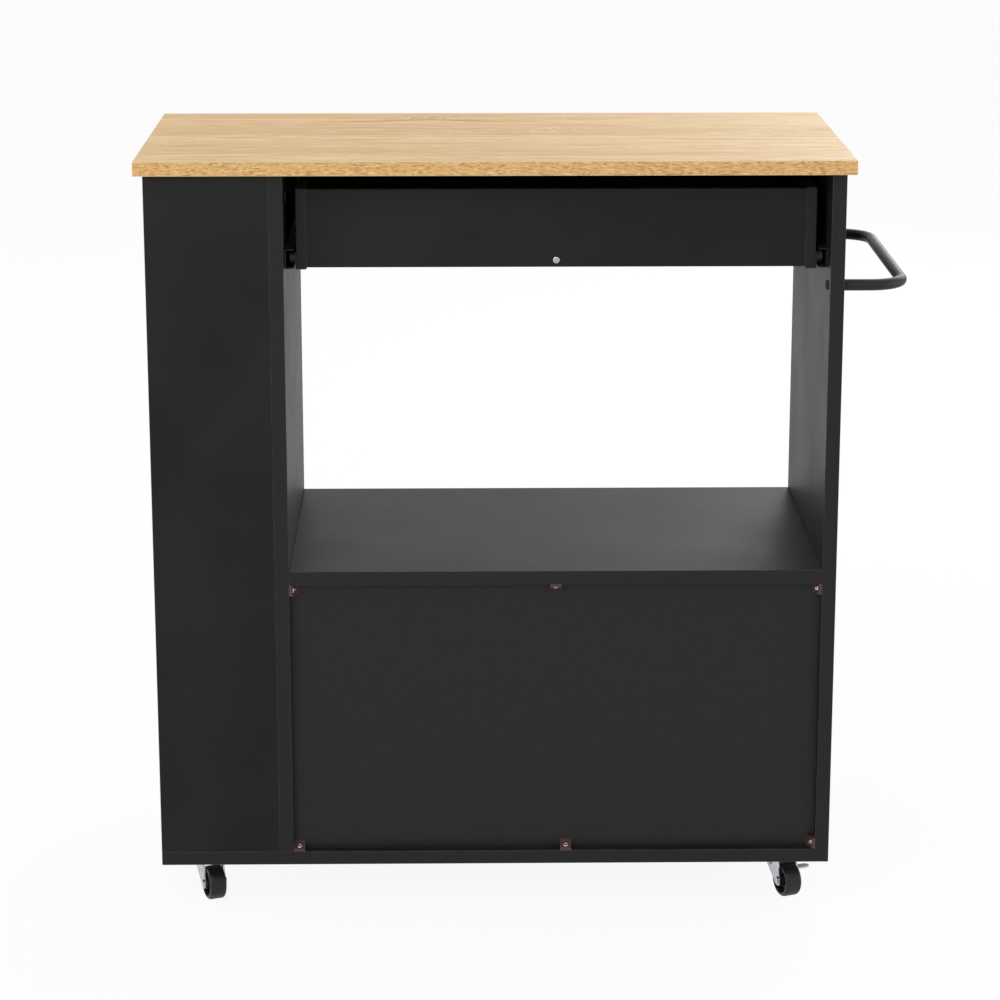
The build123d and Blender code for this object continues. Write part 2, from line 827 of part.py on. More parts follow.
for name, frame in caster_frames.items():
    axle_view = side_view(frame, caster_trail, wheel_radius)
    pedal_view = side_view(frame, pedal_back, pedal_height)

    with BuildPart() as fork:
        with BuildSketch(Plane(origin=frame.origin, x_dir=frame.y_dir, z_dir=frame.x_dir)) as bend:
            with Locations((0, fork_crown_height / 2)):
                Rectangle(2 * leg_outer, fork_crown_height)
            fillet(bend.vertices().group_by(Axis.Y)[-1], fork_corner)
            with Locations((0, crown_under / 2)):
                Rectangle(2 * leg_inner, crown_under, mode=Mode.SUBTRACT)
        extrude(amount=caster_trail + fork_crown_length, both=True)
        with BuildSketch(side_view(frame, 0, 0)):
            with Locations((caster_trail, wheel_radius)):
                Circle(fork_boss_radius)
            with Locations((0, fork_crown_height - fork_crown_drop / 2)):
                Rectangle(fork_crown_length, fork_crown_drop)
            make_hull()
        extrude(amount=leg_outer, both=True, mode=Mode.INTERSECT)
        disc(frame.offset(fork_crown_height), race_radius, race_height)
        disc(frame.offset(crown_under), king_pin_radius + fit_gap, fork_sheet + race_height, Mode.SUBTRACT)
        with BuildSketch(axle_view):
            Circle(axle_radius + fit_gap)
        extrude(amount=leg_outer, both=True, mode=Mode.SUBTRACT)
        if name in braked_casters:
            with BuildSketch(pedal_view):
                Circle(pedal_shaft_radius + fit_gap)
            extrude(amount=leg_outer, both=True, mode=Mode.SUBTRACT)
    keep(fork, f"caster_fork_{name}")

    with BuildPart() as axle:
        with BuildSketch(axle_view):
            Circle(axle_radius)
        extrude(amount=leg_outer, both=True)
        disc(axle_view.offset(leg_outer), axle_head_radius, axle_head_height)
        disc(axle_view.offset(-leg_outer), axle_head_radius, -axle_head_height)
    keep(axle, f"caster_axle_{name}")

    with BuildPart() as wheel:
        half_plane = Plane(origin=axle_view.origin, x_dir=frame.y_dir, z_dir=frame.x_dir)
        with BuildSketch(half_plane) as half:
            rim_inner = wheel_radius - wheel_rim
            with Locations((0, wheel_radius - wheel_rim / 2)):
                Rectangle(wheel_width, wheel_rim)
            fillet(half.vertices().group_by(Axis.Y)[-1], wheel_shoulder)
            with Locations((0, (rim_inner + axle_radius + fit_gap) / 2)):
                Rectangle(wheel_web, rim_inner - axle_radius - fit_gap)
            with Locations((0, (hub_radius + axle_radius + fit_gap) / 2)):
                Rectangle(wheel_width + 2 * hub_proud, hub_radius - axle_radius - fit_gap)
        revolve(axis=Axis(axle_view.origin, frame.y_dir))
    keep(wheel, f"caster_wheel_{name}")

    if name in braked_casters:
        with BuildPart() as pedal:
            disc(pedal_view.offset(leg_outer), pedal_shaft_radius, -2 * leg_outer - seat_gap)
            disc(pedal_view.offset(leg_outer + seat_gap), pedal_shaft_radius, -seat_gap)
            disc(pedal_view.offset(leg_outer + seat_gap), pedal_head_radius, pedal_head_height)
            with BuildSketch(pedal_view):
                Circle(lobe_root_radius)
                with Locations((lobe_reach * cos(lobe_angle), lobe_reach * sin(lobe_angle))):
                    Circle(lobe_radius)
                make_hull()
            extrude(amount=lobe_width / 2, both=True)
            with BuildSketch(pedal_view.offset(-arm_face)):
                Circle(pedal_arm_radius)
                with Locations((pedal_arm_run, pedal_arm_rise)):
                    Circle(pedal_arm_radius)
                make_hull()
            extrude(amount=-pedal_sheet)
            tab_root = pedal_view.offset(-arm_face).from_local_coords((pedal_arm_run, pedal_arm_rise, 0))
            with BuildSketch(Plane(origin=tab_root, x_dir=frame.y_dir, z_dir=frame.z_dir)):
                with Locations((tab_straight / 2, 0)):
                    Rectangle(tab_straight, pedal_tab_width)
                with Locations((tab_straight, 0)):
                    Circle(pedal_tab_width / 2)
            extrude(amount=pedal_sheet / 2, both=True)
        keep(pedal, f"brake_pedal_{name}")
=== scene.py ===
"""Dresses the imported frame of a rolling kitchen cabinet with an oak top, black boards and an open rack."""

import logging
from dataclasses import dataclass
from enum import Enum
from math import cos, radians, sin

import bmesh
import bpy
from mathutils import Matrix, Vector


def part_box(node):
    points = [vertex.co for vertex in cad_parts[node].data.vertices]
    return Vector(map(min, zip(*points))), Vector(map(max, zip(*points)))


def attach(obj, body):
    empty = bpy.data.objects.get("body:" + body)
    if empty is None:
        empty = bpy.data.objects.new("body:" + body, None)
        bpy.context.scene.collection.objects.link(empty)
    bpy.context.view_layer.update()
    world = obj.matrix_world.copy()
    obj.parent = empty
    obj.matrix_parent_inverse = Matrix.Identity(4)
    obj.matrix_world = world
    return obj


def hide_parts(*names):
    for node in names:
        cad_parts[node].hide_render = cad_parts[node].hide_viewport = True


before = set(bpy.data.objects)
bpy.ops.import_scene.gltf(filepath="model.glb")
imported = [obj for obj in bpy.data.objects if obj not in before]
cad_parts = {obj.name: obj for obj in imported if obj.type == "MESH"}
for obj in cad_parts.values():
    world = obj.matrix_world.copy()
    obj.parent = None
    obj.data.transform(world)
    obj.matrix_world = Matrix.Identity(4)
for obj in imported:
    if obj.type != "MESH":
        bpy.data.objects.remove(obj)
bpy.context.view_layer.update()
LOG = logging.getLogger("cabinet")

Rgb = tuple[int, int, int]
Rgba = tuple[float, float, float, float]
Triple = tuple[float, float, float]

WHITE: Rgba = (1.0, 1.0, 1.0, 1.0)
MID_NOISE = 0.5
SIDES = ("left", "right")
LEFT = Vector((-1, 0, 0))
RIGHT = Vector((1, 0, 0))
FRONT = Vector((0, -1, 0))
BACK = Vector((0, 1, 0))
UP = Vector((0, 0, 1))


class Slot(Enum):
    """The record's material slots."""

    OAK = "oak_laminate"
    BOARD = "black_laminate"
    HARDBOARD = "black_hardboard"
    CLIP = "brown_plastic"
    ZINC = "zinc_steel"
    COAT = "black_steel"
    MOULDED = "black_plastic"
    TYRE = "wheel_rubber"


Finishes = dict[Slot, tuple[str, ...]]


class Body(Enum):
    """The bodies that new pieces ride on."""

    CABINET = "cabinet"
    DRAWER = "drawer"
    DOOR_LEFT = "door_left"
    DOOR_RIGHT = "door_right"


class Axis(Enum):
    """The axes, by their place in a vector."""

    X = 0
    Y = 1
    Z = 2


@dataclass(frozen=True)
class Grain:
    """A layer of soft noise.

    Attributes:
        cells: Its cells to the metre along each axis.
        detail: How many finer layers lie over it.
        roughness: How strong the finer layers are.
        distortion: How far its cells are bent.
        shift: Where it starts along the first axis, in cells.
    """

    cells: Triple
    detail: float = 2.0
    roughness: float = 0.5
    distortion: float = 0.0
    shift: float = 0.0


@dataclass(frozen=True)
class Step:
    """A smooth step along a value.

    Attributes:
        start: The value where it begins.
        end: The value where it is over, which may be the lower one.
        high: What it comes to at its end.
        low: What it is at its start.
    """

    start: float
    end: float
    high: float = 1.0
    low: float = 0.0


@dataclass(frozen=True)
class Relief:
    """How a bump stands out: its strength from 0 to 1, and its depth in metres."""

    strength: float
    depth: float


def even(cells: float) -> Triple:
    """The same cells along all three axes."""
    return (cells, cells, cells)


def linear(shade: Rgb) -> Rgba:
    """Turns a colour as it looks on a screen into the renderer's own scale.

    Args:
        shade: Red, green and blue from 0 to 255.

    Returns:
        The linear colour with full alpha.
    """
    parts = [part / 255 for part in shade]
    red, green, blue = (p / 12.92 if p <= 0.04045 else ((p + 0.055) / 1.055) ** 2.4 for p in parts)
    return (red, green, blue, 1.0)


class Value:
    """An output socket of a shader node that takes part in Python expressions."""

    def __init__(self, graph: "Graph", node: bpy.types.Node, output: int | str = 0) -> None:
        """Wraps one output of a node.

        Args:
            graph: The graph that holds the node.
            node: The node.
            output: The output's name or number.
        """
        self.graph = graph
        self.node = node
        self.output = output

    @property
    def link(self) -> bpy.types.NodeSocket:
        """The socket that other nodes connect to."""
        return self.node.outputs[self.output]

    def other(self, output: int | str) -> "Value":
        """Another output of the same node."""
        return Value(self.graph, self.node, output)

    def _math(self, operation: str, first: "Value | float", second: "Value | float" = 0.0) -> "Value":
        """Adds one Math node of an expression."""
        return self.graph.node("ShaderNodeMath", {"operation": operation}, {0: first, 1: second})

    def __add__(self, other: "Value | float") -> "Value":
        """Sum."""
        return self._math("ADD", self, other)

    def __radd__(self, other: float) -> "Value":
        """Sum with a number first."""
        return self._math("ADD", other, self)

    def __sub__(self, other: "Value | float") -> "Value":
        """Difference."""
        return self._math("SUBTRACT", self, other)

    def __rsub__(self, other: float) -> "Value":
        """Difference with a number first."""
        return self._math("SUBTRACT", other, self)

    def __mul__(self, other: "Value | float") -> "Value":
        """Product."""
        return self._math("MULTIPLY", self, other)

    def __rmul__(self, other: float) -> "Value":
        """Product with a number first."""
        return self._math("MULTIPLY", other, self)

    def __abs__(self) -> "Value":
        """Size without the sign."""
        return self._math("ABSOLUTE", self)

    def highest(self, other: "Value | float") -> "Value":
        """The higher of two values."""
        return self._math("MAXIMUM", self, other)


class Graph:
    """A node tree, built from expressions and one node-making method."""

    def __init__(self, tree: bpy.types.NodeTree) -> None:
        """Starts a tree from nothing."""
        self.tree = tree
        tree.nodes.clear()

    def node(self, kind: str, settings: dict | None = None, inputs: dict | None = None,
             output: int | str = 0) -> Value:
        """Adds a node, sets it up and connects it.

        Args:
            kind: The node's type.
            settings: The node's own options, set first.
            inputs: A value or a link for each named or numbered socket.
            output: The socket that the result stands for.

        Returns:
            The chosen output, ready for expressions.
        """
        made = self.tree.nodes.new(kind)
        for name, option in (settings or {}).items():
            setattr(made, name, option)
        for key, given in (inputs or {}).items():
            if isinstance(given, Value):
                self.tree.links.new(given.link, made.inputs[key])
            else:
                made.inputs[key].default_value = given
        return Value(self, made, output)

    def place(self) -> Value:
        """The surface point in the frame's own metres."""
        return self.node("ShaderNodeTexCoord", output="Object")

    def parts(self, vector: Value) -> tuple[Value, Value, Value]:
        """The x, y and z of a vector."""
        first = self.node("ShaderNodeSeparateXYZ", inputs={0: vector})
        return first, first.other(1), first.other(2)

    def facing(self) -> tuple[Value, Value, Value]:
        """The surface's direction, part by part."""
        return self.parts(self.node("ShaderNodeTexCoord", output="Normal"))

    @staticmethod
    def flatness(facing: tuple[Value, Value, Value]) -> Value:
        """How squarely a surface looks along an axis: 1 on a flat face, less where an edge is rounded."""
        x, y, z = (abs(part) for part in facing)
        return x.highest(y).highest(z)

    def point(self, x: Value, y: Value) -> Value:
        """A vector in a plane from two values."""
        return self.node("ShaderNodeCombineXYZ", inputs={0: x, 1: y})

    def grain(self, layer: Grain, place: Value | None = None) -> Value:
        """Lays out soft noise from 0 to 1.

        Args:
            layer: The noise.
            place: The point that it is laid over, in metres, if not the surface point itself.

        Returns:
            The noise at the point.
        """
        cells = self.node("ShaderNodeVectorMath", {"operation": "MULTIPLY_ADD"},
                          {0: place or self.place(), 1: layer.cells, 2: (layer.shift, 0.0, 0.0)})
        return self.node("ShaderNodeTexNoise", {"noise_dimensions": "3D"},
                         {"Vector": cells, "Scale": 1.0, "Detail": layer.detail, "Roughness": layer.roughness,
                          "Distortion": layer.distortion})

    def fade(self, value: Value, step: Step) -> Value:
        """A smooth step along a value."""
        return self.node("ShaderNodeMapRange", {"interpolation_type": "SMOOTHSTEP"},
                         {0: value, 1: step.start, 2: step.end, 3: step.low, 4: step.high})

    def tint(self, share: Value, under: Value | Rgb, over: Value | Rgb) -> Value:
        """One colour laid over another."""
        below, above = (shade if isinstance(shade, Value) else linear(shade) for shade in (under, over))
        return self.node("ShaderNodeMix", {"data_type": "RGBA"}, {0: share, 6: below, 7: above}, 2)

    def surface(self, shade: Value, rough: Value, gloss: float, height: Value, relief: Relief,
                metal: float = 0.0) -> None:
        """Closes a material with one principled surface.

        Args:
            shade: Its colour.
            rough: Its roughness.
            gloss: The level of its sheen.
            height: The height that its bump follows.
            relief: How the bump stands out.
            metal: How metallic it is, from 0 to 1.
        """
        bump = self.node("ShaderNodeBump",
                         inputs={"Strength": relief.strength, "Distance": relief.depth, "Height": height})
        shader = self.node("ShaderNodeBsdfPrincipled",
                           inputs={"Base Color": shade, "Metallic": metal, "Roughness": rough,
                                   "Specular IOR Level": gloss, "Normal": bump})
        self.node("ShaderNodeOutputMaterial", inputs={"Surface": shader})


def new_material(name: str) -> tuple[bpy.types.Material, Graph]:
    """Makes an empty node material.

    Args:
        name: The material's name.

    Returns:
        The material and the graph of its tree.
    """
    material = bpy.data.materials.new(name)
    material.use_nodes = True
    return material, Graph(material.node_tree)


@dataclass(frozen=True)
class Ring:
    """One long line of the oak's knot, sizes in metres.

    Attributes:
        offset: How far across the grain it lies from the middle line.
        half: Half of its width.
        depth: How dark it is, from 0 to 1.
        length: How far it reaches to each side.
        core: The share of its half width that is fully dark.
        hold: The share of its length that is fully dark.
    """

    offset: float
    half: float
    depth: float
    length: float
    core: float = 0.35
    hold: float = 0.3

    def across(self) -> Step:
        """How it fades out to its sides."""
        return Step(self.half, self.half * self.core, self.depth)

    def along(self) -> Step:
        """How it fades out to its ends."""
        return Step(self.length, self.length * self.hold)


@dataclass(frozen=True)
class OakLaminate:
    """Printed light oak on the worktop, with a flecked band round its edge and a painted highlight on its
    chamfers.

    A grain's step says where it shows, and in the finishes a swing is how far something moves the roughness.
    """

    slot: Slot = Slot.OAK

    # Colours
    pale: Rgb = (227, 195, 145)
    honey: Rgb = (213, 177, 124)
    tan: Rgb = (190, 147, 97)
    brown: Rgb = (160, 110, 64)
    ray: Rgb = (243, 224, 190)
    band: Rgb = (211, 168, 111)
    band_dark: Rgb = (166, 120, 66)
    band_pale: Rgb = (236, 202, 148)
    # The rim colour is a painted highlight on the top's chamfered edges.
    rim: Rgb = (238, 212, 170)

    # The upper face, along the grain and across it
    sway: Grain = Grain((2.2, 4.0, 0.0))
    sway_reach: float = 0.03
    board: Grain = Grain((0.8, 12.0, 0.0))
    board_step: Step = Step(0.36, 0.64)
    streak: Grain = Grain((7.0, 84.0, 0.0), 4.0, 0.62)
    streak_step: Step = Step(0.48, 0.7, 0.5)
    dash: Grain = Grain((24.0, 150.0, 0.0), 5.0, 0.72, shift=5.0)
    dash_step: Step = Step(0.52, 0.68, 0.62)
    gleam_step: Step = Step(0.46, 0.34, 0.4)
    fibre: Grain = Grain((30.0, 620.0, 0.0), 3.0, 0.6)
    fibre_step: Step = Step(0.52, 0.76, 0.3)
    vein: Grain = Grain((1.1, 30.0, 0.0), 3.0, shift=7.0)
    vein_step: Step = Step(0.035, 0.0, 0.55)
    vein_breaks: Step = Step(0.38, 0.6)
    patch: Grain = Grain((5.5, 12.0, 0.0), 1.0, shift=3.0)
    patch_step: Step = Step(0.57, 0.68)
    flake: Grain = Grain((170.0, 42.0, 0.0))
    flake_slant: float = 75.0 / 170.0
    flake_step: Step = Step(0.52, 0.66, 0.4)
    fibre_height: float = 0.6
    streak_height: float = 0.4

    # The knot, sizes in metres
    knot_x: float = 0.111
    knot_y: float = -0.117
    rings: tuple[Ring, ...] = (
        Ring(0.0, 0.006, 0.9, 0.17),
        Ring(0.011, 0.004, 0.5, 0.09),
        Ring(0.021, 0.004, 0.35, 0.06),
        Ring(-0.012, 0.004, 0.3, 0.12),
    )
    curl: Grain = Grain((55.0, 40.0, 0.0), 3.0, 0.6, 1.6)
    curl_reach: float = 0.007
    bow_step: Step = Step(0.07, 0.0, 0.014)
    unbroken: float = 0.35
    figure_drop: float = 0.026
    figure_squash: float = 0.5
    figure_step: Step = Step(0.03, 0.008)
    figure_dark: Step = Step(0.46, 0.36, 0.4)
    figure_pale: Step = Step(0.5, 0.64, 0.8)

    # The edge band, along it and up it
    band_level: float = 0.877
    lean: Grain = Grain((26.0, 30.0, 0.0), 1.0)
    lean_reach: float = 8.867
    stroke: Grain = Grain((150.0, 640.0, 0.0), 2.0, 0.55, 0.7)
    stroke_step: Step = Step(0.5, 0.63)
    fleck: Grain = Grain((110.0, 560.0, 0.0), distortion=0.6, shift=40.0)
    fleck_step: Step = Step(0.5, 0.64, 0.6)
    cloud: Grain = Grain((22.0, 60.0, 0.0))
    cloud_step: Step = Step(0.35, 0.65, 0.95, 0.55)

    # The surface as a whole
    face_step: Step = Step(0.45, 0.55)
    # Where the rim's painted highlight lies: on the chamfers.
    rim_highlight_step: Step = Step(0.97, 0.85, 0.7)
    roughness: float = 0.44
    height_swing: float = 0.16
    gloss: float = 0.2
    relief: Relief = Relief(0.25, 0.0002)

    def face(self, graph: Graph) -> tuple[Value, Value]:
        """Lays out the grain of the upper face, which runs along the cabinet's width.

        Args:
            graph: The material's graph.

        Returns:
            The colour, and the height that the bump follows.
        """
        x, y, _ = graph.parts(graph.place())
        straight = graph.point(x, y)
        slanted = graph.point(x + y * self.flake_slant, y)
        swayed = graph.point(x, y + (graph.grain(self.sway, straight) - MID_NOISE) * self.sway_reach)
        board = graph.grain(self.board, swayed)
        streak = graph.grain(self.streak, swayed)
        dash = graph.grain(self.dash, swayed)
        fibre = graph.grain(self.fibre, swayed)
        vein = abs(graph.grain(self.vein, swayed) - MID_NOISE)
        line = graph.fade(vein, self.vein_step) * graph.fade(streak, self.vein_breaks)
        patch = graph.fade(graph.grain(self.patch, straight), self.patch_step)
        flake = graph.fade(graph.grain(self.flake, slanted), self.flake_step)
        washes = (
            (graph.fade(streak, self.streak_step), self.tan),
            (graph.fade(dash, self.dash_step), self.tan),
            (graph.fade(dash, self.gleam_step), self.ray),
            (graph.fade(fibre, self.fibre_step), self.tan),
            (line, self.tan),
            (patch * flake, self.ray),
        )
        shade = graph.tint(graph.fade(board, self.board_step), self.pale, self.honey)
        for share, over in washes:
            shade = graph.tint(share, shade, over)
        shade = self.knot(graph, x, y, dash, shade)
        return shade, fibre * self.fibre_height + streak * self.streak_height

    def knot(self, graph: Graph, x: Value, y: Value, dash: Value, shade: Value) -> Value:
        """Draws the long dark line with a curled pale figure that the top shows towards its door side.

        Args:
            graph: The material's graph.
            x: The place along the grain.
            y: The place across the grain.
            dash: The short grain that breaks the line up.
            shade: The colour so far.

        Returns:
            The colour with the line and the figure.
        """
        away = abs(x - self.knot_x)
        rise = y - self.knot_y
        curl = graph.grain(self.curl, graph.point(x, y))
        bow = rise + (curl - MID_NOISE) * self.curl_reach + graph.fade(away, self.bow_step)
        for ring in self.rings:
            line = graph.fade(abs(bow + ring.offset), ring.across()) * graph.fade(away, ring.along())
            shade = graph.tint(line * (self.unbroken + dash), shade, self.brown)
        near = graph.fade(away * self.figure_squash + abs(rise + self.figure_drop), self.figure_step)
        shade = graph.tint(near * graph.fade(curl, self.figure_dark), shade, self.brown)
        return graph.tint(near * graph.fade(curl, self.figure_pale), shade, self.ray)

    def edge(self, graph: Graph) -> Value:
        """Scatters the short wavy strokes of the edge band.

        Args:
            graph: The material's graph.

        Returns:
            The band's colour.
        """
        x, y, z = graph.parts(graph.place())
        run = x + y
        level = z - self.band_level
        upright = graph.point(run, level)
        lean = (graph.grain(self.lean, upright) - MID_NOISE) * self.lean_reach
        stroke = graph.grain(self.stroke, graph.point(run + lean * level, level))
        fleck = graph.grain(self.fleck, upright)
        weight = graph.fade(graph.grain(self.cloud, upright), self.cloud_step)
        shade = graph.tint(graph.fade(fleck, self.fleck_step), self.band, self.band_pale)
        return graph.tint(graph.fade(stroke, self.stroke_step) * weight, shade, self.band_dark)

    def build(self) -> bpy.types.Material:
        """Makes the material.

        Returns:
            The material.
        """
        material, graph = new_material("light_oak_top")
        facing = graph.facing()
        grain, height = self.face(graph)
        level = abs(facing[Axis.Z.value])
        shade = graph.tint(graph.fade(level, self.face_step), self.edge(graph), grain)
        # Painted highlight on the chamfered edges.
        shade = graph.tint(graph.fade(graph.flatness(facing), self.rim_highlight_step), shade, self.rim)
        rough = self.roughness + height * self.height_swing
        graph.surface(shade, rough, self.gloss, height, self.relief)
        return material


@dataclass(frozen=True)
class BlackBoard:
    """Satin black foil on chipboard, with a finely pebbled skin, banded edges and eased corners, the eased
    edges paler from rubbed wear and a painted highlight.

    Attributes:
        thin: The direction in which the board is thin.
    """

    thin: Axis
    shade: Rgb = (32, 32, 33)
    deep: Rgb = (26, 26, 27)
    band: Rgb = (36, 36, 36)
    # The eased edges' paler colour: rubbed wear and a painted highlight where the edges catch light.
    pale_tone_and_highlight: Rgb = (66, 66, 66)
    cloud: Grain = Grain(even(9.0), 3.0)
    cloud_step: Step = Step(0.3, 0.7)
    cloud_swing: float = 0.14
    rub: Grain = Grain(even(60.0), 4.0, 0.65)
    rub_step: Step = Step(0.35, 0.65, 1.0, 0.45)
    rub_swing: float = 0.06
    eased_step: Step = Step(0.97, 0.8)
    band_step: Step = Step(0.6, 0.3)
    band_cover: float = 0.85
    band_swing: float = -0.05
    roughness: float = 0.48
    gloss: float = 0.125
    skin: Grain = Grain(even(1300.0), 2.0, 0.6)
    relief: Relief = Relief(0.22, 0.00012)

    def build(self) -> bpy.types.Material:
        """Makes the material.

        Returns:
            The material.
        """
        material, graph = new_material(f"satin_black_board_{self.thin.name.lower()}")
        facing = graph.facing()
        cloud = graph.grain(self.cloud)
        rub = graph.grain(self.rub)
        skin = graph.grain(self.skin)
        eased = graph.fade(graph.flatness(facing), self.eased_step) * graph.fade(rub, self.rub_step)
        banded = graph.fade(abs(facing[self.thin.value]), self.band_step)
        shade = graph.tint(graph.fade(cloud, self.cloud_step), self.deep, self.shade)
        shade = graph.tint(banded * self.band_cover, shade, self.band)
        # Paler eased edges, partly rubbed wear and partly a painted highlight.
        shade = graph.tint(eased, shade, self.pale_tone_and_highlight)
        handled = (cloud - MID_NOISE) * self.cloud_swing + (rub - MID_NOISE) * self.rub_swing
        rough = self.roughness + handled + banded * self.band_swing
        graph.surface(shade, rough, self.gloss, skin, self.relief)
        return material


@dataclass(frozen=True)
class BlackHardboard:
    """Thin painted board with the faint mottle of pressed fibre."""

    slot: Slot = Slot.HARDBOARD
    shade: Rgb = (27, 27, 28)
    fibre_shade: Rgb = (37, 36, 36)
    fibre: Grain = Grain((220.0, 220.0, 90.0), 4.0, 0.7, 0.8)
    fibre_step: Step = Step(0.45, 0.75, 0.55)
    fibre_swing: float = 0.08
    cloud: Grain = Grain(even(6.0))
    cloud_swing: float = 0.16
    roughness: float = 0.42
    gloss: float = 0.22
    relief: Relief = Relief(0.2, 0.0001)

    def build(self) -> bpy.types.Material:
        """Makes the material.

        Returns:
            The material.
        """
        material, graph = new_material("black_painted_hardboard")
        fibre = graph.grain(self.fibre)
        cloud = graph.grain(self.cloud) - MID_NOISE
        shade = graph.tint(graph.fade(fibre, self.fibre_step), self.shade, self.fibre_shade)
        rough = self.roughness + cloud * self.cloud_swing + fibre * self.fibre_swing
        graph.surface(shade, rough, self.gloss, fibre, self.relief)
        return material


@dataclass(frozen=True)
class PowderCoat:
    """Black powder coat on the steel rods, rails and hinges, with a light orange peel."""

    slot: Slot = Slot.COAT
    shade: Rgb = (24, 24, 25)
    speck: Rgb = (44, 44, 45)
    dust: Grain = Grain(even(2100.0), 1.0)
    dust_step: Step = Step(0.58, 0.72, 0.6)
    cloud: Grain = Grain(even(14.0), 3.0)
    cloud_swing: float = 0.12
    roughness: float = 0.5
    gloss: float = 0.3
    peel: Grain = Grain(even(280.0), 1.0)
    relief: Relief = Relief(0.05, 0.0001)

    def build(self) -> bpy.types.Material:
        """Makes the material.

        Returns:
            The material.
        """
        material, graph = new_material("black_powder_coat")
        dust = graph.grain(self.dust)
        cloud = graph.grain(self.cloud) - MID_NOISE
        peel = graph.grain(self.peel)
        shade = graph.tint(graph.fade(dust, self.dust_step), self.shade, self.speck)
        graph.surface(shade, self.roughness + cloud * self.cloud_swing, self.gloss, peel, self.relief)
        return material


@dataclass(frozen=True)
class ZincPlate:
    """Bright zinc on pressed steel and screws, clouded a little by handling."""

    slot: Slot = Slot.ZINC
    name: str = "bright_zinc_plate"
    bright: Rgb = (192, 193, 197)
    dull: Rgb = (140, 142, 147)
    metal: float = 1.0
    cloud: Grain = Grain(even(70.0), 4.0, 0.65)
    cloud_step: Step = Step(0.35, 0.9)
    cloud_swing: float = 0.14
    roll: Grain = Grain((300.0, 300.0, 2200.0))
    roll_swing: float = 0.06
    roughness: float = 0.14
    gloss: float = 0.5
    relief: Relief = Relief(0.08, 0.00005)

    def build(self) -> bpy.types.Material:
        """Makes the material.

        Returns:
            The material.
        """
        material, graph = new_material(self.name)
        cloud = graph.grain(self.cloud)
        roll = graph.grain(self.roll)
        shade = graph.tint(graph.fade(cloud, self.cloud_step), self.bright, self.dull)
        rough = self.roughness + cloud * self.cloud_swing + (roll - MID_NOISE) * self.roll_swing
        graph.surface(shade, rough, self.gloss, roll, self.relief, self.metal)
        return material


@dataclass(frozen=True)
class MouldedPlastic:
    """Moulded plastic with a spark-eroded skin and faint paler flow marks, paler on its eased edges from
    rubbed wear and a painted highlight.
    """

    slot: Slot
    name: str
    shade: Rgb
    # The paler colour of the flow marks and of the eased edges, where it is rubbed wear and a painted
    # highlight.
    pale_tone_and_highlight: Rgb
    flow: Grain = Grain(even(130.0), 3.0, distortion=0.7)
    flow_step: Step = Step(0.4, 0.75, 0.3)
    flow_swing: float = 0.16
    eased_step: Step = Step(0.9, 0.72, 0.55)
    roughness: float = 0.42
    gloss: float = 0.4
    skin: Grain = Grain(even(1600.0))
    relief: Relief = Relief(0.18, 0.00008)

    def build(self) -> bpy.types.Material:
        """Makes the material.

        Returns:
            The material.
        """
        material, graph = new_material(self.name)
        flow = graph.grain(self.flow)
        skin = graph.grain(self.skin)
        eased = graph.fade(graph.flatness(graph.facing()), self.eased_step)
        # Paler flow marks, and eased edges paler from rubbed wear and a painted highlight.
        shade = graph.tint(eased + graph.fade(flow, self.flow_step), self.shade, self.pale_tone_and_highlight)
        rough = self.roughness + (flow - MID_NOISE) * self.flow_swing
        graph.surface(shade, rough, self.gloss, skin, self.relief)
        return material


@dataclass(frozen=True)
class WheelRubber:
    """Hard black rubber of the caster wheels, greyed with dust where the tread rolls.

    Attributes:
        axle: The heading of the wheels' axles at rest.
    """

    slot: Slot = Slot.TYRE
    axle: float = radians(202.0)
    shade: Rgb = (20, 20, 21)
    dust: Rgb = (46, 45, 44)
    tread_step: Step = Step(0.75, 0.2)
    tread_swing: float = 0.16
    grit: Grain = Grain(even(420.0), 4.0, 0.7)
    grit_step: Step = Step(0.35, 0.75, 0.6)
    grit_swing: float = 0.12
    roughness: float = 0.34
    gloss: float = 0.3
    skin: Grain = Grain(even(1500.0))
    relief: Relief = Relief(0.15, 0.00008)

    def build(self) -> bpy.types.Material:
        """Makes the material.

        Returns:
            The material.
        """
        material, graph = new_material("black_wheel_rubber")
        x, y, _ = graph.facing()
        tread = graph.fade(abs(x * cos(self.axle) + y * sin(self.axle)), self.tread_step)
        grit = graph.grain(self.grit)
        skin = graph.grain(self.skin)
        shade = graph.tint(tread * graph.fade(grit, self.grit_step), self.shade, self.dust)
        rough = self.roughness + tread * self.tread_swing + (grit - MID_NOISE) * self.grit_swing
        graph.surface(shade, rough, self.gloss, skin, self.relief)
        return material


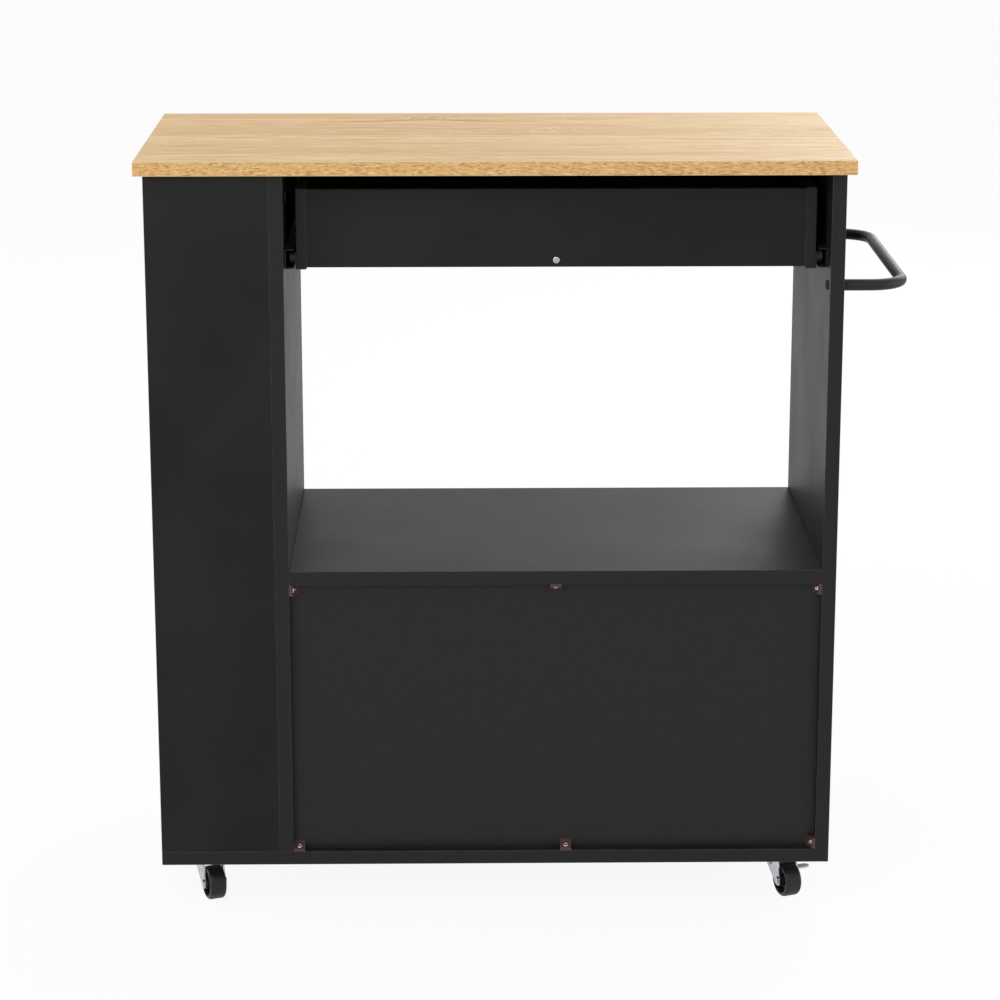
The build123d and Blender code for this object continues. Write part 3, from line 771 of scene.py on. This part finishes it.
class Palette:
    """All the finishes, each made once and found by its slot."""

    def __init__(self) -> None:
        """Makes every finish of the cabinet."""
        finishes = (
            OakLaminate(),
            BlackHardboard(),
            PowderCoat(),
            ZincPlate(),
            MouldedPlastic(Slot.CLIP, "brown_clip_plastic", shade=(68, 43, 36), pale_tone_and_highlight=(108, 78, 68)),
            MouldedPlastic(Slot.MOULDED, "black_nylon", shade=(27, 27, 28), pale_tone_and_highlight=(58, 58, 59)),
            WheelRubber(),
        )
        # The pedals' paler, less metallic zinc is a lit copy of the zinc: painted light for their place in
        # the shade under the base.
        pedal = ZincPlate(name="brightened_pedal_zinc", bright=(230, 231, 234), dull=(196, 197, 201), metal=0.15)
        self.made = {finish.slot: finish.build() for finish in finishes}
        self.boards = {axis: BlackBoard(axis).build() for axis in Axis}
        self.pedal = pedal.build()

    def dress(self, node: str, slot: Slot) -> None:
        """Gives a piece of the frame its finish: a board's by its thin direction, a pedal's a paler, less
        metallic zinc that is painted light, brightening it where it sits in the shade under the base.

        Args:
            node: The frame's piece.
            slot: The finish that it takes.
        """
        material = self.made.get(slot)
        if slot is Slot.BOARD:
            low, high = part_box(node)
            material = self.boards[min(Axis, key=lambda axis: high[axis.value] - low[axis.value])]
        elif node.startswith("brake_pedal"):
            material = self.pedal
        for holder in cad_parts[node].material_slots:
            holder.material = material
        LOG.info("%s: %s", node, material.name)

    def finish(self, piece: bpy.types.Object, slot: Slot, body: Body, *stands_for: str) -> None:
        """Finishes a new piece and ties it to the frame.

        Args:
            piece: The piece, already in place.
            slot: The finish that it takes.
            body: The body that it moves with.
            stands_for: The frame's nodes that it replaces.
        """
        piece.data.materials.clear()
        piece.data.materials.append(self.made[slot])
        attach(piece, body.value)
        if stands_for:
            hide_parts(*stands_for)
        LOG.info("%s: %s, rides on %s", piece.name, slot.value, body.value)


def start_afresh() -> None:
    """Goes back to object mode with nothing selected."""
    if bpy.context.object and bpy.context.object.mode != "OBJECT":
        bpy.ops.object.mode_set(mode="OBJECT")
    bpy.ops.object.select_all(action="DESELECT")


def pick_faces(piece: bpy.types.Object, facing: Vector, squarely: float = 0.9) -> None:
    """Selects the faces of a piece in edit mode that look one way, and no others.

    Args:
        piece: The piece, in edit mode.
        facing: The way that the wanted faces look.
        squarely: How closely they have to, where 1 is exactly.
    """
    bpy.ops.mesh.select_all(action="DESELECT")
    bpy.ops.mesh.select_mode(type="FACE")
    shape = bmesh.from_edit_mesh(piece.data)
    for face in shape.faces:
        face.select_set(face.normal.dot(facing) > squarely)
    bmesh.update_edit_mesh(piece.data)


@dataclass(frozen=True)
class Seat:
    """Where a screw head sits.

    Attributes:
        foot: The middle of the head's underside.
        facing: The way that the head looks.
    """

    foot: Vector
    facing: Vector

    def matrix(self, turn: float) -> Matrix:
        """The head's placing, with its recess turned by an angle."""
        tilt = UP.rotation_difference(self.facing).to_matrix().to_4x4()
        return Matrix.Translation(self.foot) @ tilt @ Matrix.Rotation(turn, 4, "Z")


@dataclass(frozen=True)
class ScrewHead:
    """A rounded head with a cross recess.

    Attributes:
        radius: Its radius, in metres.
        height: Its height, in metres.
        round_share: The share of the height that is rounded.
        round_steps: The steps of the rounding.
        recess_reach: The cross's reach, as a share of the radius.
        recess_width: Its arms' width, as a share of the radius.
        recess_depth: Its depth, as a share of the height.
        recess_taper: An arm's width at its end, as a share of that at its root.
        sides: The faces round the head.
        turn_step: How far the recess turns from one head to the next.
        smooth_angle: The sharpest edge that is shaded smooth.
    """

    radius: float
    height: float
    round_share: float = 0.7
    round_steps: int = 5
    recess_reach: float = 0.58
    recess_width: float = 0.36
    recess_depth: float = 0.72
    recess_taper: float = 0.72
    sides: int = 40
    turn_step: float = radians(137.5)
    smooth_angle: float = radians(35.0)

    def cutter(self) -> bpy.types.Object:
        """Models the cross that is sunk into the head.

        Returns:
            The cross, standing at the head's top.
        """
        start_afresh()
        half = self.recess_width * self.radius / 2
        bpy.ops.mesh.primitive_cube_add(size=2 * half, location=(0.0, 0.0, self.height))
        cross = bpy.context.object
        bpy.ops.object.mode_set(mode="EDIT")
        bpy.ops.transform.resize(value=(1.0, 1.0, self.recess_depth * self.height / half))
        reach = self.recess_reach * self.radius - half
        for direction in (RIGHT, LEFT, BACK, FRONT):
            pick_faces(cross, direction)
            bpy.ops.mesh.extrude_region_move(TRANSFORM_OT_translate={"value": direction * reach})
            bpy.ops.transform.resize(value=(self.recess_taper, self.recess_taper, 1.0))
        bpy.ops.object.mode_set(mode="OBJECT")
        return cross

    def build(self, name: str) -> bpy.types.Object:
        """Models one head at the origin, looking up.

        Args:
            name: The head's name.

        Returns:
            The head.
        """
        cross = self.cutter()
        start_afresh()
        bpy.ops.mesh.primitive_cylinder_add(vertices=self.sides, radius=self.radius, depth=self.height,
                                            location=(0.0, 0.0, self.height / 2))
        head = bpy.context.object
        head.name = name
        bpy.ops.object.mode_set(mode="EDIT")
        pick_faces(head, UP)
        bpy.ops.mesh.bevel(offset=self.round_share * self.height, segments=self.round_steps, affect="EDGES")
        bpy.ops.object.mode_set(mode="OBJECT")
        bpy.ops.object.transform_apply(location=True, rotation=True, scale=True)
        cut = head.modifiers.new("recess", "BOOLEAN")
        cut.operation = "DIFFERENCE"
        cut.solver = "EXACT"
        cut.object = cross
        bpy.ops.object.modifier_apply(modifier=cut.name)
        bpy.data.objects.remove(cross)
        bpy.ops.object.shade_smooth_by_angle(angle=self.smooth_angle)
        return head

    def build_set(self, name: str, seats: list[Seat]) -> bpy.types.Object:
        """Models a head once and puts a copy on each seat.

        Args:
            name: The name of the whole set.
            seats: The places of the heads.

        Returns:
            The set as one piece.
        """
        head = self.build(name)
        copies = []
        for number, seat in enumerate(seats):
            copy = head.copy()
            copy.data = head.data.copy()
            copy.data.transform(seat.matrix(number * self.turn_step))
            bpy.context.collection.objects.link(copy)
            copies.append(copy)
        bpy.data.objects.remove(head)
        start_afresh()
        for copy in copies:
            copy.select_set(True)
        bpy.context.view_layer.objects.active = copies[0]
        bpy.ops.object.join()
        joined = bpy.context.object
        joined.name = name
        joined.data.name = name
        return joined


@dataclass(frozen=True)
class ScrewReader:
    """Finds the heads of the frame's plain screws.

    Attributes:
        weld: How close two points are that count as one, in metres.
        digits: The decimals to which two faces that look the same way agree.
        rim_share: The share of a head's radius beyond which a point belongs to its rim.
    """

    weld: float = 1e-6
    digits: int = 2
    rim_share: float = 0.95

    @staticmethod
    def screws(shape: bmesh.types.BMesh) -> list[list[bmesh.types.BMFace]]:
        """Parts a mesh into its separate screws.

        Args:
            shape: The mesh.

        Returns:
            The faces of each screw.
        """
        groups = []
        for start in shape.faces:
            if start.tag:
                continue
            start.tag = True
            group = [start]
            for face in group:
                for near in (other for edge in face.edges for other in edge.link_faces if not other.tag):
                    near.tag = True
                    group.append(near)
            groups.append(group)
        return groups

    def axis(self, screw: list[bmesh.types.BMFace]) -> Vector:
        """Finds the line that a screw lies along.

        Args:
            screw: The screw's faces.

        Returns:
            The direction in which its largest flat looks.
        """
        flats: dict[tuple, Vector] = {}
        for face in screw:
            way = tuple(round(part, self.digits) + 0.0 for part in face.normal)
            flats[way] = flats.get(way, Vector()) + face.normal * face.calc_area()
        return max(flats.values(), key=lambda flat: flat.length).normalized()

    def head(self, screw: list[bmesh.types.BMFace]) -> tuple[ScrewHead, Seat]:
        """Measures a screw's head, which is its wide end.

        Args:
            screw: The screw's faces.

        Returns:
            The head and its seat.
        """
        axis = self.axis(screw)
        points = {vert.index: vert.co.copy() for face in screw for vert in face.verts}.values()
        middle = sum(points, Vector()) / len(points)
        levels = [(point - middle).dot(axis) for point in points]
        widths = [(point - middle).cross(axis).length for point in points]
        radius = max(widths)
        rim = [level for level, width in zip(levels, widths) if width > self.rim_share * radius]
        turn = 1.0 if sum(rim) > 0 else -1.0
        foot = min(turn * level for level in rim)
        top = max(turn * level for level in levels)
        return ScrewHead(radius, top - foot), Seat(middle + axis * turn * foot, axis * turn)

    def read(self, node: str) -> tuple[ScrewHead, list[Seat]]:
        """Reads from a node of like screws how large their heads are and where they sit.

        Args:
            node: The frame's node that holds the screws.

        Returns:
            The head and its seats.
        """
        shape = bmesh.new()
        shape.from_mesh(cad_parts[node].data)
        bmesh.ops.remove_doubles(shape, verts=shape.verts, dist=self.weld)
        found = [self.head(screw) for screw in self.screws(shape)]
        shape.free()
        return found[-1][0], [seat for _, seat in found]


@dataclass(frozen=True)
class BowHandle:
    """A bent rod that stands on a board, with a screw behind each foot.

    Attributes:
        rod: The rod's width, in metres.
        head: The screws' heads.
    """

    rod: float = 0.008
    head: ScrewHead = ScrewHead(0.0038, 0.0018)

    def screws(self, name: str, handle: str, board: str) -> bpy.types.Object:
        """Models the screw heads behind a handle.

        Args:
            name: The new piece's name.
            handle: The frame's handle.
            board: The frame's board that it stands on.

        Returns:
            The heads, on the board's inner face.
        """
        low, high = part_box(handle)
        along = max(Axis, key=lambda axis: high[axis.value] - low[axis.value]).value
        seats = []
        for end in (low[along] + self.rod / 2, high[along] - self.rod / 2):
            foot = (low + high) / 2
            foot.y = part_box(board)[1].y
            foot[along] = end
            seats.append(Seat(foot, BACK))
        return self.head.build_set(name, seats)


@dataclass
class SubAssembly:
    """A group of the cabinet's pieces.

    Attributes:
        palette: The finishes to take from.
    """

    palette: Palette

    def finishes(self) -> Finishes:
        """The frame's pieces for each finish."""
        return {}

    def dress(self) -> None:
        """Gives each of the frame's pieces its finish."""
        for slot, nodes in self.finishes().items():
            for node in nodes:
                self.palette.dress(node, slot)

    def build(self) -> None:
        """Models the new pieces of the group, if it has any."""

    def rescrew(self, name: str, node: str, body: Body, slot: Slot = Slot.ZINC) -> None:
        """Puts recessed heads in the place of a node's plain screws.

        Args:
            name: The new piece's name.
            node: The node of plain screws.
            body: The body that they move with.
            slot: The finish that they take.
        """
        head, seats = ScrewReader().read(node)
        self.palette.finish(head.build_set(name, seats), slot, body, node)


@dataclass
class Carcass(SubAssembly):
    """The worktop and the boards, with the cam fittings that pull them together."""

    def finishes(self) -> Finishes:
        """Sorts the group's pieces.

        Returns:
            The frame's pieces for each finish.
        """
        return {
            Slot.OAK: ("worktop",),
            Slot.BOARD: ("base_board", "side_panel", "divider_panel", "nook_shelf"),
            Slot.ZINC: ("cam_fittings",),
        }


@dataclass
class BackPanel(SubAssembly):
    """The thin back of the cupboard and the wedge clips that hold it."""

    def finishes(self) -> Finishes:
        """The frame's pieces for each finish."""
        return {Slot.HARDBOARD: ("cabinet_back",), Slot.CLIP: ("back_clips",)}

    def build(self) -> None:
        """Models the clips' screw heads."""
        self.rescrew("clip_screw_heads", "clip_screws", Body.CABINET)


@dataclass
class SideRack(SubAssembly):
    """The open rack with its shelves and guard rods."""

    shelf_count: int = 3

    def finishes(self) -> Finishes:
        """The frame's pieces for each finish."""
        shelves = tuple(f"rack_shelf_{number}" for number in range(1, self.shelf_count + 1))
        return {Slot.BOARD: ("rack_back_board", "rack_front_board") + shelves, Slot.COAT: ("rack_rails",)}


@dataclass
class TowelBar(SubAssembly):
    """The bent rod on the cabinet's side and the two screws that hold it from inside."""

    def finishes(self) -> Finishes:
        """The frame's pieces for each finish."""
        return {Slot.COAT: ("towel_bar",)}

    def build(self) -> None:
        """Models the bar's screw heads."""
        self.rescrew("bar_screw_heads", "towel_bar_screws", Body.CABINET, Slot.COAT)


@dataclass
class Drawer(SubAssembly):
    """The drawer, its handle and its roller runners."""

    handle: BowHandle = BowHandle()

    def finishes(self) -> Finishes:
        """Sorts the group's pieces.

        Returns:
            The frame's pieces for each finish.
        """
        rails = tuple(f"runner_{part}_{side}" for part in ("cabinet", "drawer") for side in SIDES)
        return {
            Slot.BOARD: ("drawer_front", "drawer_side_left", "drawer_side_right", "drawer_back"),
            Slot.HARDBOARD: ("drawer_bottom",),
            Slot.COAT: ("drawer_handle",) + rails,
            Slot.MOULDED: tuple(f"roller_{end}_{side}" for end in ("front", "rear") for side in SIDES),
        }

    def build(self) -> None:
        """Models the screw heads of the drawer's back, its runners and its handle."""
        self.rescrew("drawer_screw_head", "drawer_back_screw", Body.DRAWER)
        self.rescrew("runner_screw_heads", "runner_screws", Body.CABINET)
        heads = self.handle.screws("drawer_handle_screw_heads", "drawer_handle", "drawer_front")
        self.palette.finish(heads, Slot.COAT, Body.DRAWER)


@dataclass
class Doors(SubAssembly):
    """The pair of doors with their handles, butt hinges and magnetic catches.

    Attributes:
        handle: The doors' handles.
        hinge_head: The heads of the hinge screws.
        leaf_sheet: The thickness of a hinge leaf, in metres.
        leaf_width: Its width.
        leaf_height: Its height.
        screw_inset: How far a screw is from its leaf's end.
    """

    handle: BowHandle = BowHandle()
    hinge_head: ScrewHead = ScrewHead(0.0026, 0.00015)
    leaf_sheet: float = 0.0008
    leaf_width: float = 0.014
    leaf_height: float = 0.05
    screw_inset: float = 0.01

    def finishes(self) -> Finishes:
        """Sorts the group's pieces.

        Returns:
            The frame's pieces for each finish.
        """
        coated = tuple(f"{piece}_{side}" for piece in ("door_handle", "hinge_door_leaves") for side in SIDES)
        return {
            Slot.BOARD: tuple(f"door_{side}" for side in SIDES),
            Slot.COAT: ("hinge_frame_leaves",) + coated,
            Slot.MOULDED: ("door_magnets",),
            Slot.ZINC: ("hinge_pins", "catch_plate_left", "catch_plate_right"),
        }

    def leaf_seats(self, side: str, level: float, facing: Vector) -> list[Seat]:
        """Finds the screws in one half of a door's two hinges.

        Args:
            side: The door's side.
            level: The face that the leaves lie on, along the cabinet's width.
            facing: The way that the heads look.

        Returns:
            The seats, two to a leaf.
        """
        low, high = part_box(f"hinge_door_leaves_{side}")
        middle = high.y - self.leaf_width / 2
        face = level + self.leaf_sheet * facing.x
        feet = (low.z, high.z - self.leaf_height)
        rises = (self.screw_inset, self.leaf_height - self.screw_inset)
        return [Seat(Vector((face, middle, foot + rise)), facing) for foot in feet for rise in rises]

    def hinge_screws(self) -> None:
        """Models the heads in the leaves, which lie almost flush because the leaves close on each other."""
        door_left = self.leaf_seats("left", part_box("door_left")[0].x, LEFT)
        door_right = self.leaf_seats("right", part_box("door_right")[1].x, RIGHT)
        wall_left = self.leaf_seats("left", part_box("side_panel")[1].x, RIGHT)
        wall_right = self.leaf_seats("right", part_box("divider_panel")[0].x, LEFT)
        sets = (
            ("door_left", Body.DOOR_LEFT, door_left),
            ("door_right", Body.DOOR_RIGHT, door_right),
            ("frame", Body.CABINET, wall_left + wall_right),
        )
        for place, body, seats in sets:
            heads = self.hinge_head.build_set(f"hinge_screw_heads_{place}", seats)
            self.palette.finish(heads, Slot.ZINC, body)

    def build(self) -> None:
        """Models the screw heads of the hinges and those behind the handles."""
        self.hinge_screws()
        for side, body in zip(SIDES, (Body.DOOR_LEFT, Body.DOOR_RIGHT)):
            name = f"door_handle_screw_heads_{side}"
            heads = self.handle.screws(name, f"door_handle_{side}", f"door_{side}")
            self.palette.finish(heads, Slot.COAT, body)


@dataclass
class Casters(SubAssembly):
    """The four swivel casters, two of them with a brake."""

    corners: tuple[str, ...] = ("front_left", "front_right", "back_left", "back_right")
    braked: tuple[str, ...] = ("front_right", "back_left")

    def finishes(self) -> Finishes:
        """Sorts the group's pieces.

        Returns:
            The frame's pieces for each finish.
        """
        metal = tuple(f"caster_{part}_{corner}" for part in ("fork", "axle") for corner in self.corners)
        pedals = tuple(f"brake_pedal_{corner}" for corner in self.braked)
        return {
            Slot.ZINC: ("caster_plates",) + metal + pedals,
            Slot.TYRE: tuple(f"caster_wheel_{corner}" for corner in self.corners),
        }

    def build(self) -> None:
        """Models the screw heads under the plates."""
        self.rescrew("caster_screw_heads", "caster_screws", Body.CABINET)


def turn_to(thing: bpy.types.Object, look: Vector) -> None:
    """Turns a lamp or a camera so that it looks along a direction, with its top up."""
    thing.rotation_euler = look.to_track_quat("-Z", "Y").to_euler()


@dataclass(frozen=True)
class Softbox:
    """A square lamp.

    Attributes:
        name: The lamp's name.
        stand: Where it hangs, in metres.
        size: The side of its square.
        watts: Its power.
    """

    name: str
    stand: Triple
    size: float
    watts: float

    def hang(self, aim: Triple) -> None:
        """Hangs the lamp.

        Args:
            aim: The point that it looks at.
        """
        start_afresh()
        bpy.ops.object.light_add(type="AREA", location=self.stand)
        lamp = bpy.context.object
        lamp.name = self.name
        lamp.data.shape = "SQUARE"
        lamp.data.size = self.size
        lamp.data.energy = self.watts
        turn_to(lamp, Vector(aim) - Vector(self.stand))


@dataclass
class Studio:
    """The pale floor, the soft lamps, the white surroundings and the camera.

    Attributes:
        floor_size: The side of the floor, in metres.
        floor_shade: Its colour where it gives light.
        floor_white: How far it fades into the white where it is seen.
        world_light: The strength of the light from all round.
        aim: The point that the lamps look at.
        lamps: A key light behind the camera, a fill on the door side and a weak light on each end.
        stand: Where the camera stands.
        yaw: How far it turns to the side.
        pitch: How far it looks down.
        lens: Its focal length, in millimetres.
        sensor: Its sensor's width, in millimetres.
    """

    floor_size: float = 60.0
    floor_shade: Rgb = (248, 248, 247)
    floor_white: float = 0.92
    world_light: float = 0.62
    aim: Triple = (0.0, 0.0, 0.45)
    lamps: tuple[Softbox, ...] = (
        Softbox("key_light", (1.5, 3.3, 2.6), 2.0, 59.0),
        Softbox("fill_light", (-1.8, -3.2, 2.4), 2.4, 76.0),
        Softbox("rack_light", (3.2, -0.9, 0.75), 1.3, 24.0),
        Softbox("bar_light", (-3.2, 0.5, 0.75), 1.3, 16.0),
    )
    stand: Triple = (0.078, 3.6, 1.3916)
    yaw: float = radians(-0.826)
    pitch: float = radians(14.733)
    lens: float = 111.52
    sensor: float = 36.0

    @staticmethod
    def seen(graph: Graph) -> Value:
        """One where a surface is seen, directly or in a gloss, and nought where it only gives light."""
        rays = graph.node("ShaderNodeLightPath", output="Is Camera Ray")
        return rays.highest(rays.other("Is Glossy Ray")).highest(rays.other("Is Transmission Ray"))

    def floor(self) -> None:
        """Lays the floor, which keeps the cabinet's shadow and fades into the white."""
        start_afresh()
        bpy.ops.mesh.primitive_plane_add(size=self.floor_size, location=(0.0, 0.0, 0.0))
        ground = bpy.context.object
        ground.name = "studio_floor"
        material, graph = new_material("pale_floor")
        matte = graph.node("ShaderNodeBsdfDiffuse", inputs={"Color": linear(self.floor_shade)})
        glow = graph.node("ShaderNodeEmission", inputs={"Color": WHITE, "Strength": 1.0})
        share = self.seen(graph) * self.floor_white
        both = graph.node("ShaderNodeMixShader", inputs={0: share, 1: matte, 2: glow})
        graph.node("ShaderNodeOutputMaterial", inputs={"Surface": both})
        ground.data.materials.append(material)

    def world(self) -> None:
        """Surrounds the cabinet with white that gives a plain level of light."""
        world = bpy.data.worlds.new("white_studio")
        bpy.context.scene.world = world
        world.use_nodes = True
        graph = Graph(world.node_tree)
        strength = self.world_light + self.seen(graph) * (1.0 - self.world_light)
        white = graph.node("ShaderNodeBackground", inputs={"Color": WHITE, "Strength": strength})
        graph.node("ShaderNodeOutputWorld", inputs={"Surface": white})

    def camera(self) -> None:
        """Stands the camera at the back of the cabinet, a little above its top."""
        start_afresh()
        bpy.ops.object.camera_add(location=self.stand)
        camera = bpy.context.object
        camera.name = "studio_camera"
        ahead = cos(self.pitch)
        turn_to(camera, Vector((sin(self.yaw) * ahead, -cos(self.yaw) * ahead, -sin(self.pitch))))
        camera.data.lens = self.lens
        camera.data.sensor_width = self.sensor
        bpy.context.scene.camera = camera

    def build(self) -> None:
        """Sets up the whole studio."""
        bpy.context.scene.view_settings.view_transform = "Standard"
        self.floor()
        self.world()
        for lamp in self.lamps:
            lamp.hang(self.aim)
        self.camera()


def main() -> None:
    """Dresses the cabinet, group by group, and sets up the studio."""
    logging.basicConfig(level=logging.INFO, format="%(name)s %(message)s")
    palette = Palette()
    for group in (Carcass, BackPanel, SideRack, TowelBar, Drawer, Doors, Casters):
        part = group(palette)
        part.dress()
        part.build()
    Studio().build()


if __name__ == "__main__":
    main()
